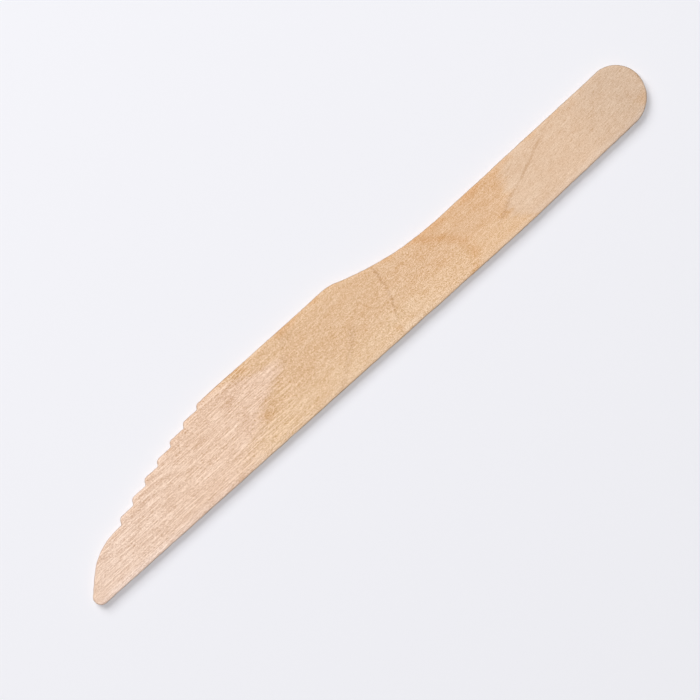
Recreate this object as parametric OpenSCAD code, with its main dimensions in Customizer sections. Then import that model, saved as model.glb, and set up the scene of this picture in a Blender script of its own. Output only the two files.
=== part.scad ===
// Serrated table knife, die-cut from one sheet of birch veneer and tumbled
// The outline is drawn flat with the tip at X zero and the back along Y zero, then centred on the origin

/* [Sheet] */
// Length from the tip to the end of the handle
length = 165; // [140:1:190]
// Thickness of the veneer
thickness = 1.8; // [1.4:0.1:2.4]
// Radius that tumbling leaves on the cut edges
arris_r = 0.35; // [0.1:0.05:0.6]

/* [Blade] */
// Width of the blade from the back to the straight part of its edge
blade_w = 19.2; // [17:0.1:22]
// Radius of the nose, where the edge meets the back
nose_r = 1.8; // [1:0.1:2.5]
// Angle between the back and the straight run above the nose
tip_angle = 43; // [38:0.5:50]
// Radius of the curve from the nose up to the teeth
tip_r = 15; // [8:0.5:18]

/* [Teeth] */
// Number of steps cut along the belly
tooth_count = 7; // [3:1:7]
// Distance from the tip to the crest of the tooth nearest the handle
first_tooth_x = 45; // [43:0.1:60]
// Distance between crests, along the back
tooth_pitch = 4.8; // [3.5:0.1:4.9]
// Slope of the belly where the teeth begin
belly_angle = 11.5; // [8:0.5:14]
// Radius of the belly, the long arc that the crests lie on
belly_r = 310; // [200:5:500]
// Angle between the back and the steep face of a tooth
riser_angle = 66; // [55:1:80]
// Radius on the crest of a tooth
crest_r = 1.2; // [0.7:0.05:1.4]
// Radius in the gullet between two teeth
gullet_r = 0.45; // [0.2:0.05:0.7]

/* [Shoulder] */
// Distance from the tip to the corner of the shoulder
shoulder_x = 83.9; // [75:0.1:92]
// Slope of the shoulder down to the handle
shoulder_angle = 20; // [15:0.5:30]
// Radius on the corner of the shoulder
shoulder_r = 11.5; // [5:0.5:25]
// Radius of the hollow that sweeps from the shoulder into the handle
sweep_r = 82; // [40:1:120]

/* [Handle] */
// Height of the handle's upper edge above the back, at the shoulder
neck_w = 14; // [12.5:0.1:15.5]
// Slope of the handle's upper edge, rising to the end
upper_angle = 0.75; // [0:0.05:1.5]
// Distance from the tip to the heel, where the lower edge leaves the line of the back
heel_x = 124.5; // [110:0.5:140]
// Slope of the handle's lower edge, rising to the end
lower_angle = 1.5; // [0.5:0.1:2.5]
// Radius of the easy bend at the heel
heel_r = 300; // [100:10:600]
// Radius of the round end, above its middle
end_upper_r = 6.5; // [3:0.1:8]
// Radius of the round end, below its middle
end_lower_r = 7.5; // [3:0.1:8]

/* [Hidden] */
// How far a flat face is overrun by the sheet's cut
overrun = 0.5;
// Largest gap between an arc and the chords that stand for it
chord_gap = 0.005;
// Steps in each rounded arris
arris_steps = 3;
// Share of a straight run that the radii at its two ends may take up together
round_share = 0.999;

// Height of the crest line above the back at a place along the blade
belly_centre = [first_tooth_x + belly_r * sin(belly_angle), blade_w - belly_r * cos(belly_angle)];
function belly_y(x) = belly_centre.y + sqrt(belly_r ^ 2 - (x - belly_centre.x) ^ 2);
function crest_x(i) = first_tooth_x - i * tooth_pitch;
function crest(i) = [crest_x(i), belly_y(crest_x(i))];
// Foot of a tooth's steep face, level with the crest of the next tooth towards the tip
function gullet(i) = let (low = crest(i + 1).y) [crest_x(i) - (crest(i).y - low) / tan(riser_angle), low];

// Corners of the outline before rounding, anticlockwise from the nose, each with its radius
nose_x = nose_r - nose_r * tan(90 - tip_angle / 2);
tip_y = crest(tooth_count).y;
neck_x = shoulder_x + (blade_w - neck_w) / tan(shoulder_angle);
corners = [
    [nose_x, 0, nose_r],
    [heel_x, 0, heel_r],
    [length, (length - heel_x) * tan(lower_angle), end_lower_r],
    [length, neck_w + (length - neck_x) * tan(upper_angle), end_upper_r],
    [neck_x, neck_w, sweep_r],
    [shoulder_x, blade_w, shoulder_r],
    for (i = [0 : tooth_count - 1], edge = [[crest(i), crest_r], [gullet(i), gullet_r]])
        [edge[0].x, edge[0].y, edge[1]],
    [nose_x + tip_y / tan(tip_angle), tip_y, tip_r]
];
corner_count = len(corners);
function at(i) = corners[(i + corner_count) % corner_count];
function point(i) = [at(i).x, at(i).y];

// Straight run that leaves each corner: its length and its heading
function run(i) = norm(point(i + 1) - point(i));
function heading(i) = let (step = point(i + 1) - point(i)) atan2(step.y, step.x);
// Change of heading at each corner, positive to the left
function turn(i) = let (change = heading(i) - heading(i - 1)) change - 360 * round(change / 360);
// Length of run that a corner's radius takes up, and the part of it that the run has room for
function reach(i) = at(i).z * tan(abs(turn(i)) / 2);
function room(i) = min(1, round_share * run(i) / (reach(i) + reach(i + 1)));

// Each corner as an arc: centre, radius, bearing of its first point, and sweep
arcs = [for (i = [0 : corner_count - 1])
    let (
        side = sign(turn(i)),
        radius = at(i).z * min(room(i - 1), room(i)),
        inward = heading(i - 1) + turn(i) / 2 + side * 90,
        away = radius / cos(turn(i) / 2)
    )
    [point(i) + away * [cos(inward), sin(inward)], radius, heading(i - 1) - side * 90, turn(i)]
];

// The outline set in by a distance: every arc keeps its centre and only its radius changes
function chords(arc) = ceil(abs(arc[3]) / (2 * acos(1 - chord_gap / arc[1])));
function outline(inset) = [
    for (arc = arcs, k = [0 : chords(arc)])
        let (bearing = arc[2] + arc[3] * k / chords(arc))
        arc[0] + (arc[1] - sign(arc[3]) * inset) * [cos(bearing), sin(bearing)]
];

// Each arris is a quarter round: inset and height of its rings, from the flat face to the cut edge
arris = min(arris_r, thickness / 2, min([for (arc = arcs) if (arc[3] > 0) arc[1]]));
quarter = [for (k = [0 : arris_steps]) let (a = 90 * k / arris_steps) arris * [1 - sin(a), 1 - cos(a)]];
levels = [
    [arris, -overrun],
    for (ring = quarter) ring,
    for (k = [arris_steps : -1 : 0]) [quarter[k].x, thickness - quarter[k].y],
    [arris, thickness + overrun]
];

// The die-cut blank with tumbled edges: a loft through the rings, closed by a fan from the neck
module tumbled_blank() {
    around = len(outline(0));
    rings = [for (level = levels, p = outline(level.x)) [p.x, p.y, level.y]];
    top = (len(levels) - 1) * around;
    hub = [neck_x, neck_w / 2];
    hubs = [[hub.x, hub.y, levels[0].y], [hub.x, hub.y, levels[len(levels) - 1].y]];
    sides = [
        for (r = [0 : len(levels) - 2], j = [0 : around - 1])
            let (a = r * around + j, b = r * around + (j + 1) % around)
            each [[a, a + around, b], [b, a + around, b + around]]
    ];
    ends = [
        for (j = [0 : around - 1])
            let (next = (j + 1) % around)
            each [[len(rings), j, next], [len(rings) + 1, top + next, top + j]]
    ];
    polyhedron(concat(rings, hubs), concat(sides, ends));
}

// The sheet of veneer that the blank is cut from
module veneer() {
    translate([-overrun, -overrun, 0])
        cube([length + 2 * overrun, blade_w + 2 * overrun, thickness]);
}

module birch_knife() {
    color("#e3c1a4")
        translate([-length / 2, -blade_w / 2, 0])
            intersection() {
                veneer();
                tumbled_blank();
            }
}

birch_knife();
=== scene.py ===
import math

import bmesh
import bpy
import numpy as np
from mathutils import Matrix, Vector


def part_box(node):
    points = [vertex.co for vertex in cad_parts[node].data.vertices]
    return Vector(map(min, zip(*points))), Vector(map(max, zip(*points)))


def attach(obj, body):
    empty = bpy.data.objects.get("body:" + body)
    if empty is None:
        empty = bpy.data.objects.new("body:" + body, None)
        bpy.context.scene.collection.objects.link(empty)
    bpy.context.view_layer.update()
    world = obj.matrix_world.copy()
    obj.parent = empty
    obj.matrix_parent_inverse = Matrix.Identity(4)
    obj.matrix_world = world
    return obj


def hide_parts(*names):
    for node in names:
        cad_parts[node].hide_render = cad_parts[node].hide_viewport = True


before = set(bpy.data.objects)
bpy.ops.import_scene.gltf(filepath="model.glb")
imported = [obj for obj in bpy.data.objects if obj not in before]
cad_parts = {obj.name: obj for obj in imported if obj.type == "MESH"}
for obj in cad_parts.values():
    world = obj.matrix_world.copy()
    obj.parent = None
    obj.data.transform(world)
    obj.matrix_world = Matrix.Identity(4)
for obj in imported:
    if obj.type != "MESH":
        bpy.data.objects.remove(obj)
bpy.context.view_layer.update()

# The blank: one sheet of rotary-cut birch veneer, stamped out by a steel-rule die in a single stroke.
# Tumbling with others in a drum has rounded every cut edge, and the faces are left bare.
# Nothing is fixed to it: blade, teeth, shoulder and handle are one outline in one piece of wood.
MM = 0.001
blank_low, blank_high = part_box("birch_knife")
length = blank_high.x - blank_low.x
blade_w = blank_high.y - blank_low.y
thickness = blank_high.z - blank_low.z
arris_r = 0.35 * MM

nose_r = 1.8 * MM
tip_angle = math.radians(43)
tip_r = 15 * MM

tooth_count = 7
first_tooth_x = 45 * MM
tooth_pitch = 4.8 * MM
belly_angle = math.radians(11.5)
belly_r = 310 * MM
riser_angle = math.radians(66)
crest_r = 1.2 * MM
gullet_r = 0.45 * MM

shoulder_x = 83.9 * MM
shoulder_angle = math.radians(20)
shoulder_r = 11.5 * MM
sweep_r = 82 * MM

neck_w = 14 * MM
upper_angle = math.radians(0.75)
heel_x = 124.5 * MM
lower_angle = math.radians(1.5)
heel_r = 300 * MM
end_upper_r = 6.5 * MM
end_lower_r = 7.5 * MM


def belly_height(x):
    """Height above the back of the long arc that the crests lie on: a circle of the belly's radius that
    passes through the first crest and slopes there by the belly's angle."""
    from_middle = x - first_tooth_x - belly_r * math.sin(belly_angle)
    return blade_w - belly_r * math.cos(belly_angle) + np.sqrt(belly_r**2 - from_middle**2)


def tooth_corners():
    """Crest and gullet of every step, from the handle towards the tip, as x, y and radius. Crests lie one
    pitch apart on the belly, and each gullet is level with the next crest, at the foot of a steep riser."""
    crest_x = first_tooth_x - tooth_pitch * np.arange(tooth_count + 1)
    crest_y = belly_height(crest_x)
    gullet_x = crest_x[:-1] - (crest_y[:-1] - crest_y[1:]) / math.tan(riser_angle)
    crests = np.stack([crest_x[:-1], crest_y[:-1], np.full(tooth_count, crest_r)], axis=1)
    gullets = np.stack([gullet_x, crest_y[1:], np.full(tooth_count, gullet_r)], axis=1)
    return np.stack([crests, gullets], axis=1).reshape(-1, 3), crest_y[-1]


def rounded_outline(corners, steps):
    """Closed anticlockwise outline through corners given as x, y and radius. Each corner becomes an arc
    that touches both runs: its centre lies on the corner's bisector, radius / cos(turn / 2) away, and its
    bearing sweeps evenly through the turn. Radii shrink where a run is too short for them. Returns points
    and normals."""
    place, radius = corners[:, :2], corners[:, 2]
    run = np.roll(place, -1, axis=0) - place
    heading = np.arctan2(run[:, 1], run[:, 0])
    arriving = np.roll(heading, 1)
    turn = (heading - arriving + np.pi) % (2 * np.pi) - np.pi
    side = np.sign(turn)
    reach = radius * np.tan(np.abs(turn) / 2)
    room = np.minimum(1, np.hypot(*run.T) / (reach + np.roll(reach, -1)))
    radius = radius * np.minimum(room, np.roll(room, 1))
    inward = arriving + turn / 2 + side * np.pi / 2
    away = radius / np.cos(turn / 2)
    centre = place + away[:, None] * np.stack([np.cos(inward), np.sin(inward)], axis=1)
    bearing = (arriving - side * np.pi / 2)[:, None] + turn[:, None] * np.linspace(0, 1, steps)
    spoke = np.stack([np.cos(bearing), np.sin(bearing)], axis=-1)
    points = centre[:, None] + radius[:, None, None] * spoke
    normals = side[:, None, None] * spoke
    return points.reshape(-1, 2), normals.reshape(-1, 2)


def waver(x, y, reach_x, reach_y, seed, waves=24):
    """Smooth irregular height of about unit spread at each x, y: a sum of plane waves with seeded
    directions and phases, whose wavelengths scatter around the given reach along x and along y."""
    draw = np.random.default_rng(seed)
    turns_x = draw.normal(0, 1, waves) / reach_x
    turns_y = draw.normal(0, 1, waves) / reach_y
    phase = draw.uniform(0, 2 * np.pi, waves)
    angle = 2 * np.pi * (x[..., None] * turns_x + y[..., None] * turns_y) + phase
    return np.sin(angle).sum(axis=-1) * math.sqrt(2 / waves)


edge_waver, edge_waver_reach = 0.02 * MM, 6 * MM
edge_fray, edge_fray_reach = 0.012 * MM, 0.8 * MM
face_dip, face_dip_reach = 0.03 * MM, (45 * MM, 18 * MM)


def edge_lines(stations):
    """Back and toothed edge at the same places along the blank, as x, y and outward normal. The outline is
    cut at its two ends, and the places are spread so that neither edge takes a longer step than the other.
    The die's wear moves both edges a little along their normals."""
    teeth, tip_y = tooth_corners()
    neck_x = shoulder_x + (blade_w - neck_w) / math.tan(shoulder_angle)
    nose_x = nose_r - nose_r / math.tan(tip_angle / 2)
    corners = np.vstack([
        (nose_x, 0, nose_r),
        (heel_x, 0, heel_r),
        (length, (length - heel_x) * math.tan(lower_angle), end_lower_r),
        (length, neck_w + (length - neck_x) * math.tan(upper_angle), end_upper_r),
        (neck_x, neck_w, sweep_r),
        (shoulder_x, blade_w, shoulder_r),
        teeth,
        (nose_x + tip_y / math.tan(tip_angle), tip_y, tip_r),
    ])
    points, normals = rounded_outline(corners, steps=96)
    line = np.hstack([points + (blank_low.x, blank_low.y), normals])
    line = np.roll(line, -np.argmin(line[:, 0]), axis=0)
    end = np.argmax(line[:, 0])
    edges = line[: end + 1], np.vstack([line[end:], line[:1]])[::-1]

    samples_per_station = 40
    sweep = np.linspace(0, np.pi, samples_per_station * stations)
    x = line[0, 0] + (line[end, 0] - line[0, 0]) * (1 - np.cos(sweep)) / 2
    rise = [np.abs(np.diff(np.interp(x, edge[:, 0], edge[:, 1]))) for edge in edges]
    travel = np.concatenate([[0], np.cumsum(np.hypot(np.diff(x), np.maximum(*rise)))])
    x = np.interp(np.linspace(0, travel[-1], stations), travel, x)

    def worn(edge):
        """One edge at those places, moved along its normal by a slow waver and a fine fray."""
        columns = [np.interp(x, edge[:, 0], edge[:, k]) for k in range(4)]
        place, normal = np.stack(columns[:2], axis=1), np.stack(columns[2:], axis=1)
        wear = edge_waver * waver(*place.T, edge_waver_reach, edge_waver_reach, seed=3)
        wear = wear + edge_fray * waver(*place.T, edge_fray_reach, edge_fray_reach, seed=5)
        return place + wear[:, None] * normal, normal

    return worn(edges[0]), worn(edges[1])


def blank_surface(stations, across, arris_steps, wall_steps):
    """The whole skin as a function of place along the blank and place round its section. Round the section,
    the upper face runs straight from the back to the teeth, then a column follows a quarter round, the wall
    and a second quarter round along the outline's normal, and the lower face and the back's column return.
    The upper face dips a little where the sheet was peeled thinner. Also returns distance in from the cut,
    how far a point has turned onto the cut wall, and which way the cut there faces: 1 to the toothed side
    and -1 to the back."""
    (back, back_normal), (teeth, teeth_normal) = edge_lines(stations)
    quarter = np.linspace(0, np.pi / 2, arris_steps + 1)[1:]
    inset = arris_r * (1 - np.sin(quarter))
    drop = arris_r * (1 - np.cos(quarter))
    wall = np.linspace(thickness - arris_r, arris_r, wall_steps + 2)[1:-1]
    column_inset = np.concatenate([inset, 0 * wall, inset[::-1]])
    column_z = np.concatenate([thickness - drop, wall, drop[::-1]])
    column_turn = np.concatenate([quarter, 0 * wall + np.pi / 2, quarter[::-1]]) / (np.pi / 2)

    def cut_column(place, normal):
        """Points down the cut, each set in from the edge along its normal by the column's inset."""
        flat = place[:, None] - column_inset[:, None] * normal[:, None]
        return np.dstack([flat, np.broadcast_to(column_z, flat.shape[:2])])

    share = np.linspace(0, 1, across + 1)[:, None]
    near = (back - arris_r * back_normal)[:, None]
    far = (teeth - arris_r * teeth_normal)[:, None]
    face = near + share * (far - near)
    upper = np.dstack([face, np.full(face.shape[:2], thickness)])
    lower = np.dstack([face[:, ::-1], np.zeros(face.shape[:2])])
    skin = np.hstack([upper, cut_column(teeth, teeth_normal), lower, cut_column(back, back_normal)[:, ::-1]])
    dip = waver(skin[..., 0], skin[..., 1], *face_dip_reach, seed=11)
    skin[..., 2] *= 1 - face_dip / thickness * (dip - dip.min()) / np.ptp(dip)

    face_rim = arris_r + np.hypot(*(far - near)[:, 0].T)[:, None] * np.minimum(share, 1 - share).T
    back_side, teeth_side = back_normal[:, 1:], teeth_normal[:, 1:]
    face_side = back_side + share.T * (teeth_side - back_side)
    column = np.ones((stations, len(column_turn)))
    rim = np.hstack([face_rim, column * column_inset] * 2)
    side = np.hstack([face_side, column * teeth_side, face_side[:, ::-1], column * back_side])
    turn = np.hstack([0 * face_rim, column * column_turn] * 2)
    return skin, {"rim_mm": rim / MM, "edge_side": side, "cut_wall": turn}


merge_gap = 0.0005 * MM


def closed_mesh(name, skin, marks):
    """Mesh of a surface whose first parameter runs between two poles and whose second closes on itself.
    Quads join neighbours on the grid, doubles at the poles are merged, and each mark becomes a value on the
    points."""
    rows, loop = skin.shape[:2]
    index = np.arange(rows * loop).reshape(rows, loop)
    beside = np.roll(index, -1, axis=1)
    quads = np.stack([index[:-1], index[1:], beside[1:], beside[:-1]], axis=-1).reshape(-1, 4)
    mesh = bpy.data.meshes.new(name)
    mesh.vertices.add(rows * loop)
    mesh.vertices.foreach_set("co", skin.astype(np.float32).ravel())
    mesh.loops.add(quads.size)
    mesh.loops.foreach_set("vertex_index", quads.astype(np.int32).ravel())
    mesh.polygons.add(len(quads))
    mesh.polygons.foreach_set("loop_start", np.arange(0, quads.size, 4, dtype=np.int32))
    mesh.update(calc_edges=True)
    for mark, values in marks.items():
        points = mesh.attributes.new(mark, "FLOAT", "POINT").data
        points.foreach_set("value", values.astype(np.float32).ravel())
    merger = bmesh.new()
    merger.from_mesh(mesh)
    bmesh.ops.remove_doubles(merger, verts=merger.verts, dist=merge_gap)
    merger.to_mesh(mesh)
    merger.free()
    mesh.polygons.foreach_set("use_smooth", np.ones(len(mesh.polygons), dtype=bool))
    mesh.update()
    return mesh


knife_skin, knife_marks = blank_surface(stations=1200, across=20, arris_steps=4, wall_steps=3)
knife_mesh = closed_mesh("birch_blank", knife_skin, knife_marks)
knife = bpy.data.objects.new("birch_blank", knife_mesh)
bpy.context.scene.collection.objects.link(knife)


def tint(red, green, blue):
    """A colour given as a picture shows it, 0 to 255, in the linear values that shaders take."""
    shown = np.array([red, green, blue]) / 255
    linear = np.where(shown > 0.04045, ((shown + 0.055) / 1.055) ** 2.4, shown / 12.92)
    return (*linear.tolist(), 1.0)


def add_node(tree, kind, inputs, **settings):
    """One shader node. Each input is a value, or another node's output to link."""
    node = tree.nodes.new("ShaderNode" + kind)
    for name, value in settings.items():
        setattr(node, name, value)
    for name, value in inputs.items():
        if isinstance(value, bpy.types.NodeSocket):
            tree.links.new(value, node.inputs[name])
        else:
            node.inputs[name].default_value = value
    return node


def calc(tree, operation, *values):
    """One step of arithmetic on numbers and outputs."""
    return add_node(tree, "Math", dict(enumerate(values)), operation=operation).outputs[0]


def ease(tree, value, start, end, low=0.0, high=1.0):
    """Smooth passage from low, where the value is at start, to high, where it is at end."""
    inputs = {"Value": value, "From Min": start, "From Max": end, "To Min": low, "To Max": high}
    return add_node(tree, "MapRange", inputs, interpolation_type="SMOOTHSTEP").outputs[0]


def blend(tree, share, first, second, mode="MIX"):
    """Colour that passes from the first to the second as share goes from 0 to 1."""
    inputs = {0: share, 6: first, 7: second}
    return add_node(tree, "Mix", inputs, data_type="RGBA", blend_type=mode).outputs[2]


def between(tree, share, first, second):
    """Number that passes from the first to the second as share goes from 0 to 1."""
    return add_node(tree, "Mix", {0: share, 2: first, 3: second}).outputs[0]


def grain_noise(tree, place, reach, start, detail=0.0, turn=0.0):
    """Smooth noise around 0, up to about 0.5 either way, whose blobs have the given reach in millimetres
    along, across and through the sheet, turned in its plane. Start moves it, so that no two layers repeat
    each other."""
    turned = add_node(tree, "Mapping", {"Vector": place, "Rotation": (0, 0, -math.radians(turn))}).outputs[0]
    shrink = tuple(1 / r for r in reach)
    moved = add_node(tree, "Mapping", {"Vector": turned, "Location": (start, start, start), "Scale": shrink})
    noise = {"Vector": moved.outputs[0], "Scale": 1.0, "Detail": detail, "Roughness": 0.55}
    return calc(tree, "SUBTRACT", add_node(tree, "TexNoise", noise).outputs["Fac"], 0.5)


def growth_line_group():
    """Where the peeling knife crossed a growth ring. The line rises over Before millimetres, is darkest at
    its own place and fades over After. Past passes from 0 to 1 over Soft millimetres on each side of the
    line."""
    group = bpy.data.node_groups.new("growth_line", "ShaderNodeTree")
    for name in ("Place", "Course", "Before", "After", "Soft"):
        group.interface.new_socket(name, in_out="INPUT", socket_type="NodeSocketFloat")
    for name in ("Line", "Past"):
        group.interface.new_socket(name, in_out="OUTPUT", socket_type="NodeSocketFloat")
    given = group.nodes.new("NodeGroupInput").outputs
    made = group.nodes.new("NodeGroupOutput").inputs
    beyond = calc(group, "SUBTRACT", given["Place"], given["Course"])
    rise = ease(group, beyond, calc(group, "MULTIPLY", given["Before"], -1.0), 0.0)
    fall = ease(group, beyond, given["After"], 0.0)
    past = ease(group, beyond, calc(group, "MULTIPLY", given["Soft"], -1.0), given["Soft"])
    group.links.new(calc(group, "MULTIPLY", rise, fall), made["Line"])
    group.links.new(past, made["Past"])
    return group


growth_line = growth_line_group()
across_low, across_high = -10.0, 10.0
along_low, along_high = -60.0, 80.0


def ring(tree, place, y, course, before, after, soft):
    """One growth line on the upper face. Its course is a smooth curve through places given as x and y in
    millimetres, in order of y, and read as x at each y. A curve node holds it, with both axes scaled
    from 0 to 1."""
    across = {"Value": y, "From Min": across_low, "From Max": across_high}
    shape = add_node(tree, "FloatCurve", {"Value": add_node(tree, "MapRange", across).outputs[0]})
    knots = (np.array(course) - (along_low, across_low)) / (along_high - along_low, across_high - across_low)
    points = shape.mapping.curves[0].points
    for along_share, across_share in knots[1:-1].tolist():
        points.new(across_share, along_share)
    points[0].location = knots[0, ::-1].tolist()
    points[len(knots) - 1].location = knots[-1, ::-1].tolist()
    shape.mapping.update()
    along = {"Value": shape.outputs[0], "To Min": along_low, "To Max": along_high}
    crossing = add_node(tree, "MapRange", along).outputs[0]
    group = {"Place": place, "Course": crossing, "Before": before, "After": after, "Soft": soft}
    return add_node(tree, "Group", group, node_tree=growth_line).outputs


def patch(tree, figure, centre, reach):
    """Soft oval mask, 1 at its centre and 0 at its reach, both in millimetres along and across."""
    oval = {"Vector": figure, "Scale": (1 / reach[0], 1 / reach[1], 0)}
    oval["Location"] = (-centre[0] / reach[0], -centre[1] / reach[1], 0)
    away = add_node(tree, "VectorMath", {0: add_node(tree, "Mapping", oval).outputs[0]}, operation="LENGTH")
    return ease(tree, away.outputs["Value"], 1.0, 0.0)


def birch_veneer():
    """Bare birch: pale pink at the blade, honey in the middle, amber past the neck and greyer tan in the
    handle, parted by growth lines, with long bright fibres at the blade, grit in the middle and slanting
    pores in the handle. Places and lengths are in millimetres."""
    material = bpy.data.materials.new("birch_veneer")
    material.use_nodes = True
    tree = material.node_tree
    tree.nodes.clear()

    here = add_node(tree, "TexCoord", {}).outputs["Object"]
    here = add_node(tree, "VectorMath", {0: here, "Scale": 1 / MM}, operation="SCALE").outputs[0]
    axes = add_node(tree, "SeparateXYZ", {0: here}).outputs
    x, y, z = axes["X"], axes["Y"], axes["Z"]
    wander = calc(tree, "MULTIPLY", grain_noise(tree, here, (60, 12, 12), start=3.1), 1.2)
    grain = add_node(tree, "CombineXYZ", {"X": x, "Y": calc(tree, "ADD", y, wander), "Z": z}).outputs[0]

    # Rings slope through the sheet, so each line lies further towards the tip on the lower face
    ring_slope = 6.0
    depth = calc(tree, "SUBTRACT", thickness / MM, z)
    sloped = calc(tree, "ADD", x, calc(tree, "MULTIPLY", depth, ring_slope))

    # Fibres feather some lines a lot and others a little
    feather = calc(tree, "MULTIPLY", grain_noise(tree, here, (4.0, 0.7, 0.7), start=7.7), 2.6)
    place = calc(tree, "ADD", sloped, feather)
    calm = calc(tree, "MULTIPLY_ADD", feather, 0.25, sloped)
    figure = add_node(tree, "CombineXYZ", {"X": place, "Y": y}).outputs[0]

    blade_course = [(-36, -9.6), (-33.5, -5.6), (-29.5, -3.2), (-26.5, -0.7),
                    (-22, 1.5), (-18, 4.6), (-24, 6.4), (-32, 9.6)]
    inner_course = [(-20, -9.6), (-16.5, 4.8), (-14.3, 7), (-13, 9.6)]
    heart_course = [(-11.5, -9.6), (-7.5, -6.5), (-2.7, -3), (-0.4, 0), (6, 9.6)]
    neck_course = [(6.3, -9.6), (8.4, -5), (10.4, -0.5), (11.1, 4), (11.5, 9.6)]
    amber_course = [(27.4, -9.6), (30.4, -5.8), (29.8, -2.5), (27.2, 0.5), (22.8, 3.5), (16, 9.6)]
    streak_course = [(30, -9.6), (39.5, -4.9), (44.3, -2.5), (49.2, -0.8), (54.5, 1.5), (59, 3.4), (75, 9.6)]
    pale_course = [(46.5, -9.6), (43.2, -7), (41.3, -4.9), (43.5, -2.5), (44.8, 0.5), (47.5, 5), (52, 9.6)]
    fuzzy_back = ease(tree, y, -2.0, -6.0, 3.2, 9.0)
    blade_ring = ring(tree, place, y, blade_course, before=1.5, after=5.0, soft=fuzzy_back)
    inner_ring = ring(tree, place, y, inner_course, before=1.5, after=6.0, soft=1.5)
    heart_ring = ring(tree, calm, y, heart_course, before=1.8, after=1.6, soft=1.5)
    neck_ring = ring(tree, calm, y, neck_course, before=0.6, after=0.5, soft=0.8)
    amber_ring = ring(tree, calm, y, amber_course, before=2.4, after=2.8, soft=2.2)
    streak_ring = ring(tree, calm, y, streak_course, before=1.8, after=1.0, soft=1.5)
    pale_ring = ring(tree, place, y, pale_course, before=1.0, after=1.0, soft=2.2)

    # Colours of the zones between the lines, from the tip to the end of the handle
    tip_pink, blade_pink, honey = tint(237, 207, 186), tint(233, 199, 173), tint(225, 187, 150)
    amber_wood, handle_tan, end_tan = tint(225, 184, 145), tint(225, 192, 162), tint(214, 184, 157)
    chalky = (1.05, 1.09, 1.12, 1)
    wood = blend(tree, ease(tree, x, -78.0, -36.0), tip_pink, blade_pink)
    wood = blend(tree, blade_ring["Past"], wood, honey)
    ambered = calc(tree, "MAXIMUM", amber_ring["Past"], ease(tree, x, 8.0, 26.0, 0.0, 0.85))
    wood = blend(tree, ambered, wood, amber_wood)
    near_back = calc(tree, "MULTIPLY", blade_ring["Past"], ease(tree, y, -1.0, -6.5))
    wood = blend(tree, near_back, wood, chalky, "MULTIPLY")
    wood = blend(tree, pale_ring["Past"], wood, handle_tan)
    wood = blend(tree, ease(tree, x, 58.0, 80.0), wood, end_tan)

    # Denser late wood along the lines, broken up along their length
    broken = ease(tree, grain_noise(tree, here, (5.0, 2.5, 2.5), start=12.3), -0.2, 0.1, 0.65, 1.0)
    brown, amber, umber = (0.86, 0.81, 0.76, 1), (0.92, 0.82, 0.68, 1), (0.83, 0.76, 0.68, 1)
    streak_ends = calc(tree, "MULTIPLY", ease(tree, y, -6.0, -4.5), ease(tree, y, 4.0, 0.5, 0.4, 1.0))
    lines = [
        (blade_ring["Line"], brown, ease(tree, y, -6.0, -3.0, 0.0, 0.2)),
        (inner_ring["Line"], brown, ease(tree, y, 3.0, 5.5, 0.0, 0.35)),
        (heart_ring["Line"], brown, ease(tree, y, 1.0, -1.5, 0.0, 0.6)),
        (neck_ring["Line"], umber, ease(tree, y, -6.5, -3.5, 0.3, 1.0)),
        (amber_ring["Line"], amber, 0.78),
        (streak_ring["Line"], umber, streak_ends),
    ]
    for line, ink, strength in lines:
        share = calc(tree, "MULTIPLY", calc(tree, "MULTIPLY", line, broken), strength)
        wood = blend(tree, share, wood, ink, "MULTIPLY")

    # Stains and pale streaks that stand out by themselves: centre, reach, ink and strength
    pale = (1.06, 1.09, 1.12, 1)
    patches = [
        ((-27.4, -2.6), (2.8, 1.9), amber, 0.6),
        ((-24.5, 7.9), (2.6, 1.1), amber, 0.5),
        ((6.9, -7.8), (0.9, 1.8), amber, 0.5),
        ((23.8, 2.8), (2.6, 1.4), amber, 0.4),
        ((30.8, -5.6), (1.5, 1.8), amber, 0.2),
        ((37.0, 3.5), (4.5, 1.0), amber, 0.35),
        ((40.6, -4.5), (3.0, 1.3), amber, 0.85),
        ((79.0, -5.6), (3.0, 1.6), amber, 0.35),
        ((-33, 5.0), (16.0, 6.0), brown, 0.12),
        ((73.0, 2.4), (3.5, 1.4), brown, 0.3),
        ((77.0, -2.8), (3.0, 1.6), brown, 0.3),
        ((-70, -8.5), (13.0, 1.3), pale, 0.6),
        ((-45, -3.6), (8.0, 1.6), pale, 1.0),
        ((-36, 2.6), (8.0, 1.6), pale, 0.5),
        ((-34, -7.0), (15.0, 2.6), pale, 0.6),
        ((-30, 0.3), (4.5, 1.0), pale, 0.7),
        ((-24, -0.8), (6.0, 1.6), pale, 0.5),
        ((-20.5, 4.7), (4.5, 0.7), pale, 0.8),
        ((-17, 5.4), (10.0, 1.8), pale, 0.6),
        ((-8, 8.3), (20.0, 2.2), pale, 0.6),
        ((-6.0, -8.0), (2.0, 1.4), pale, 0.6),
        ((8.8, -8.0), (1.4, 1.4), pale, 0.5),
        ((31, 2.5), (4.0, 2.2), pale, 0.45),
        ((45.5, -0.9), (5.5, 2.4), pale, 0.8),
        ((47.0, -4.8), (5.5, 3.2), pale, 0.75),
        ((63, -8.7), (10.0, 1.3), pale, 0.7),
    ]
    for centre, reach, ink, strength in patches:
        share = calc(tree, "MULTIPLY", patch(tree, figure, centre, reach), strength)
        wood = blend(tree, share, wood, ink, "MULTIPLY")

    # Fibres: fine bright lines at the blade, short dashes and grit in the middle, slanting pores in the
    # handle, each as a layer that is stronger in some zones than in others

    def strands(reach, width, start):
        """Bright lines along the grain, 1 on the crests of a noise and 0 in its hollows."""
        return ease(tree, grain_noise(tree, grain, (reach, width, width), start), -0.1, 0.3)

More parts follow.
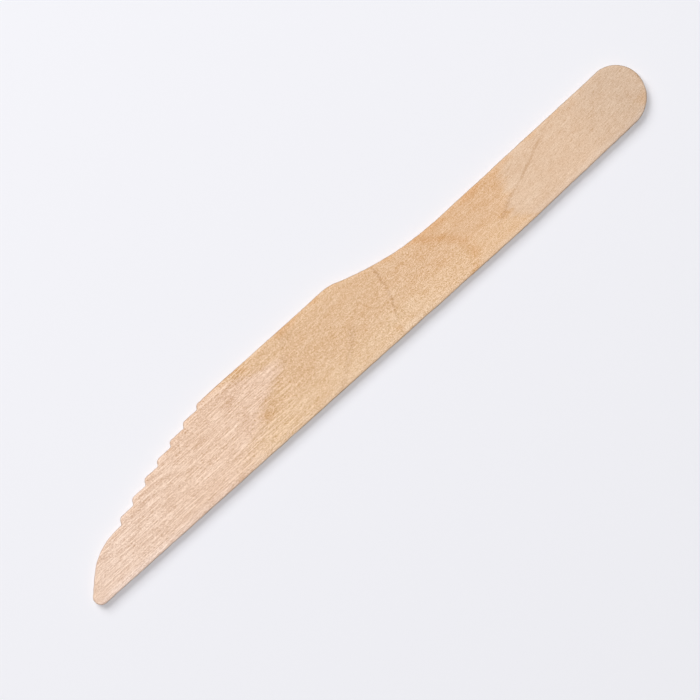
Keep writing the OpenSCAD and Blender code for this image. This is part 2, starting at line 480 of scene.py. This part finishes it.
    fibre = strands(5.5, 0.2, start=27.0)
    fine_fibre = strands(5.5, 0.15, start=61.3)
    short_fibre = strands(1.6, 0.2, start=33.5)
    speck = grain_noise(tree, grain, (0.16, 0.12, 0.12), start=41.5)
    pore = grain_noise(tree, here, (2.2, 0.22, 0.22), start=47.0, turn=12.0)
    flare = grain_noise(tree, grain, (11.0, 1.1, 1.1), start=58.0)
    mottle = grain_noise(tree, here, (4.0, 2.2, 2.2), start=52.0, detail=1.0)

    def by_zone(blade, middle, past_neck, handle):
        """A strength for each zone of the wood, passing from one to the next at the lines between them."""
        number = between(tree, ease(tree, x, -30.0, -10.0), blade, middle)
        number = between(tree, amber_ring["Past"], number, past_neck)
        return between(tree, pale_ring["Past"], number, handle)

    def layered(layers):
        """Sum of all layers, each times its strength."""
        total = 0.0
        for layer, strength in layers:
            total = calc(tree, "MULTIPLY_ADD", layer, strength, total)
        return total

    def inked(colour, amount, ink):
        """The colour plus an amount times the ink. An amount below 0 takes ink away."""
        inputs = {0: ink, 1: amount, 2: colour}
        return add_node(tree, "VectorMath", inputs, operation="MULTIPLY_ADD").outputs[0]

    # Each set of lines has about its mean taken off, so that it doesn't shift the colour of its zone
    dark_pore = ease(tree, pore, 0.0, 0.3)
    tone = layered([
        (calc(tree, "SUBTRACT", fibre, 0.25), by_zone(0.27, 0.03, 0.06, 0.03)),
        (calc(tree, "SUBTRACT", fine_fibre, 0.25), by_zone(0.27, 0.04, 0.08, 0.04)),
        (calc(tree, "SUBTRACT", short_fibre, 0.35), by_zone(0.03, 0.1, 0.05, 0.04)),
        (speck, by_zone(1.35, 0.98, 0.72, 0.55)),
        (pore, by_zone(0.0, 0.0, 0.15, 0.4)),
        (calc(tree, "SUBTRACT", 0.2, dark_pore), by_zone(0.0, 0.0, 0.05, 0.17)),
    ])
    tone_limit = 0.32
    tone = calc(tree, "MINIMUM", tone, tone_limit)
    wood = inked(wood, tone, ink=(0.66, 0.67, 0.65))
    drift = layered([(flare, by_zone(0.03, 0.06, 0.1, 0.0)), (mottle, by_zone(0.04, 0.08, 0.1, 0.1))])
    wood = inked(wood, drift, ink=(0.5, 0.7, 0.75))

    # The die and the drum press an amber tint near the cut, most on the toothed side and round the handle's
    # end; the darker cut wall there is partly its own colour, mostly painted shade
    rim = add_node(tree, "Attribute", {}, attribute_name="rim_mm").outputs["Fac"]
    side = add_node(tree, "Attribute", {}, attribute_name="edge_side").outputs["Fac"]
    cut = add_node(tree, "Attribute", {}, attribute_name="cut_wall").outputs["Fac"]
    scorched, back_pale_ink, toothed_wall_shade_ink = (0.97, 0.89, 0.78, 1), (1.02, 1.04, 1.08, 1), (0.47, 0.45, 0.41, 1)
    pressed = calc(tree, "MAXIMUM", ease(tree, side, -0.9, 0.4), ease(tree, x, 70.0, 76.0))
    scorch = ease(tree, grain_noise(tree, here, (3.5, 2.5, 2.5), start=71.0), 0.0, 0.18, 0.0, 0.7)
    scorch = calc(tree, "MULTIPLY", scorch, ease(tree, x, -35.0, -18.0, 0.3, 1.0))
    pressed = calc(tree, "MULTIPLY", calc(tree, "MULTIPLY", pressed, scorch), ease(tree, rim, 2.2, 0.5))
    wood = blend(tree, pressed, wood, scorched, "MULTIPLY")
    # Paler within 2 mm of the back edge, most at the cut
    back_pale_share = calc(tree, "MULTIPLY", ease(tree, side, -0.5, -0.9), ease(tree, rim, 2.0, 0.6))
    wood = blend(tree, back_pale_share, wood, back_pale_ink, "MULTIPLY")
    # Painted shade: the cut wall darkens fully on the toothed side, where the softbox falls, and by half
    # round the handle's end; a little of it is the cut's own darker colour
    toothed_wall_shade = calc(tree, "MULTIPLY", ease(tree, cut, 0.0, 1.05), ease(tree, side, -0.6, 0.6))
    wood = blend(tree, toothed_wall_shade, wood, toothed_wall_shade_ink, "MULTIPLY")

    relief = add_node(tree, "Bump", {"Strength": 0.12, "Distance": 0.03 * MM, "Height": tone}).outputs[0]
    rough = ease(tree, short_fibre, 0.0, 1.0, 0.72, 0.56)
    shader = {"Base Color": wood, "Roughness": rough, "Normal": relief, "Specular IOR Level": 0.3}
    shader = add_node(tree, "BsdfPrincipled", shader).outputs[0]
    add_node(tree, "OutputMaterial", {"Surface": shader})
    return material


knife_mesh.materials.append(birch_veneer())
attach(knife, "root")
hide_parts("birch_knife")

# The floor: a plain pale sheet under the knife, large enough to fill every view.
# It keeps the knife's shadow and has no pattern of its own.
floor_half = 3.0
floor_gap = 0.01 * MM
floor_mesh = bpy.data.meshes.new("floor")
floor_corners = np.array([(-1, -1, 0), (1, -1, 0), (1, 1, 0), (-1, 1, 0)]) * floor_half - (0, 0, floor_gap)
floor_mesh.from_pydata(floor_corners.tolist(), [], [(0, 1, 2, 3)])
floor = bpy.data.objects.new("floor", floor_mesh)
bpy.context.scene.collection.objects.link(floor)
paper = bpy.data.materials.new("floor_paper")
paper.use_nodes = True
paper_shader = paper.node_tree.nodes["Principled BSDF"].inputs
paper_shader["Base Color"].default_value = tint(241.5, 241.5, 246.5)
paper_shader["Roughness"].default_value = 0.9
paper_shader["Specular IOR Level"].default_value = 0.0
floor_mesh.materials.append(paper)

# The light: one softbox from the toothed side, one overhead and a little from all round.
# Together they light the upper face at a level where a colour shows about as it is written.


def softbox(name, place, size, level):
    """Square lamp at a place, aimed at the knife. Level is the share of full light on the upper face."""
    lamp = bpy.data.lights.new(name, "AREA")
    lamp.size = size
    distance = Vector(place).length
    lamp.energy = level * math.pi**2 * distance**2 * distance / place[2]
    holder = bpy.data.objects.new(name, lamp)
    holder.location = place
    holder.rotation_euler = Vector(place).to_track_quat("Z", "Y").to_euler()
    bpy.context.scene.collection.objects.link(holder)


softbox("softbox_teeth", place=(0.0, 1.6, 1.5), size=1.5, level=0.565)
softbox("softbox_above", place=(0.0, 0.0, 2.2), size=0.5, level=0.41)
world = bpy.data.worlds.new("room")
world.use_nodes = True
room = world.node_tree.nodes["Background"].inputs
room["Color"].default_value = (1.0, 1.0, 1.0, 1.0)
room["Strength"].default_value = 0.1
bpy.context.scene.world = world

# The camera: straight above the knife with a long lens, turned so that the tip points to the lower left.
# The field is the width that it takes in at the height of the upper face.
field = 152.6 * MM
field_centre = (-4.36 * MM, -4.0 * MM)
camera_turn = math.radians(-41.895)
camera_height = 0.7
lens = bpy.data.cameras.new("camera")
lens.sensor_width = 36.0
lens.lens = lens.sensor_width * (camera_height - thickness) / field
lens.clip_start = 0.01
camera = bpy.data.objects.new("camera", lens)
camera.location = (*field_centre, camera_height)
camera.rotation_euler = (0.0, 0.0, camera_turn)
bpy.context.scene.collection.objects.link(camera)
bpy.context.scene.camera = camera
bpy.context.scene.view_settings.view_transform = "Standard"
